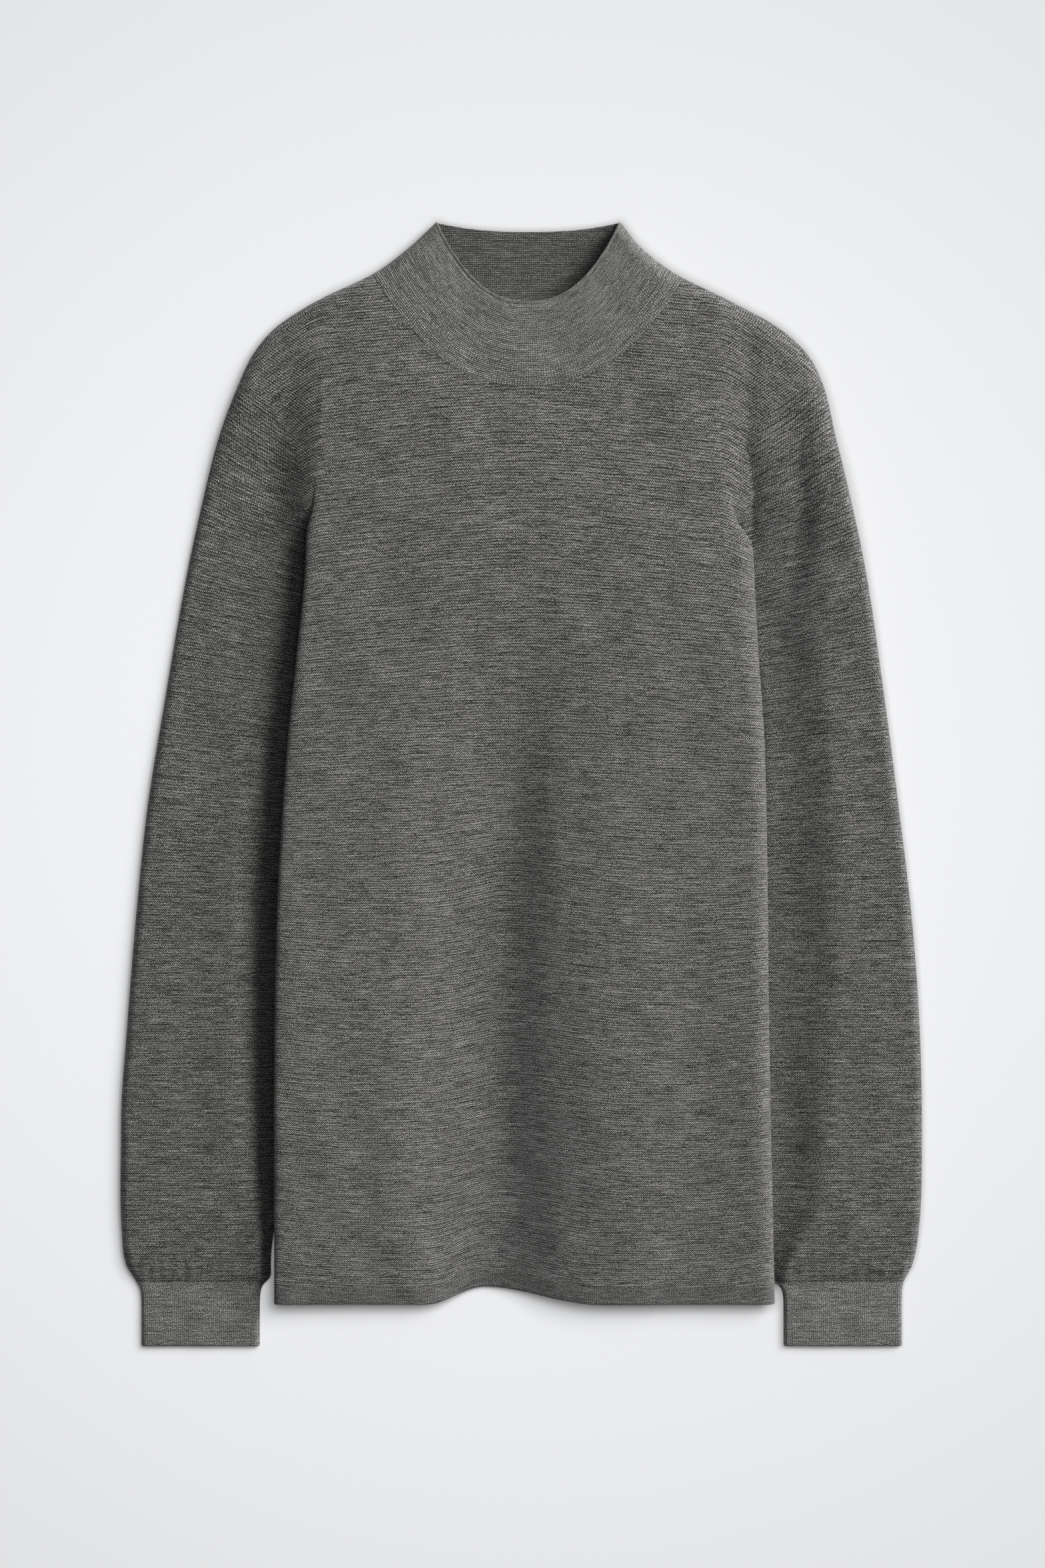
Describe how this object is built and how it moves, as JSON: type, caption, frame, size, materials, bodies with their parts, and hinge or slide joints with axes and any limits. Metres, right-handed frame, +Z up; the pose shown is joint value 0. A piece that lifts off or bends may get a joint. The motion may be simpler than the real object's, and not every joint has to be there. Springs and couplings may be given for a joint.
{
  "type": "mock neck sweater",
  "caption": "Long-sleeved fine-knit sweater with a short stand-up mock neck collar, ribbed cuffs and a narrow hem band, laid out flat with its sides turned under.",
  "frame": {"origin": "middle of the laid-out garment's outline, on the surface it lies on", "axes": "+Z up, away from the surface; +Y from the hem to the neck; +X to the side of sleeve_right, on the right when the front is seen from above with the neck at the top"},
  "size_m": [0.5418, 0.7593, 0.0262],
  "materials": {
    "knit": "matte melange knit",
    "rib": "matte melange rib knit"
  },
  "bodies": {
    "root": {"front": "knit", "back": "knit", "sleeve_left": "knit", "sleeve_right": "knit", "collar": "rib", "cuff_left": "rib", "cuff_right": "rib", "hem_front": "rib", "hem_back": "rib"}
  },
  "joints": []
}
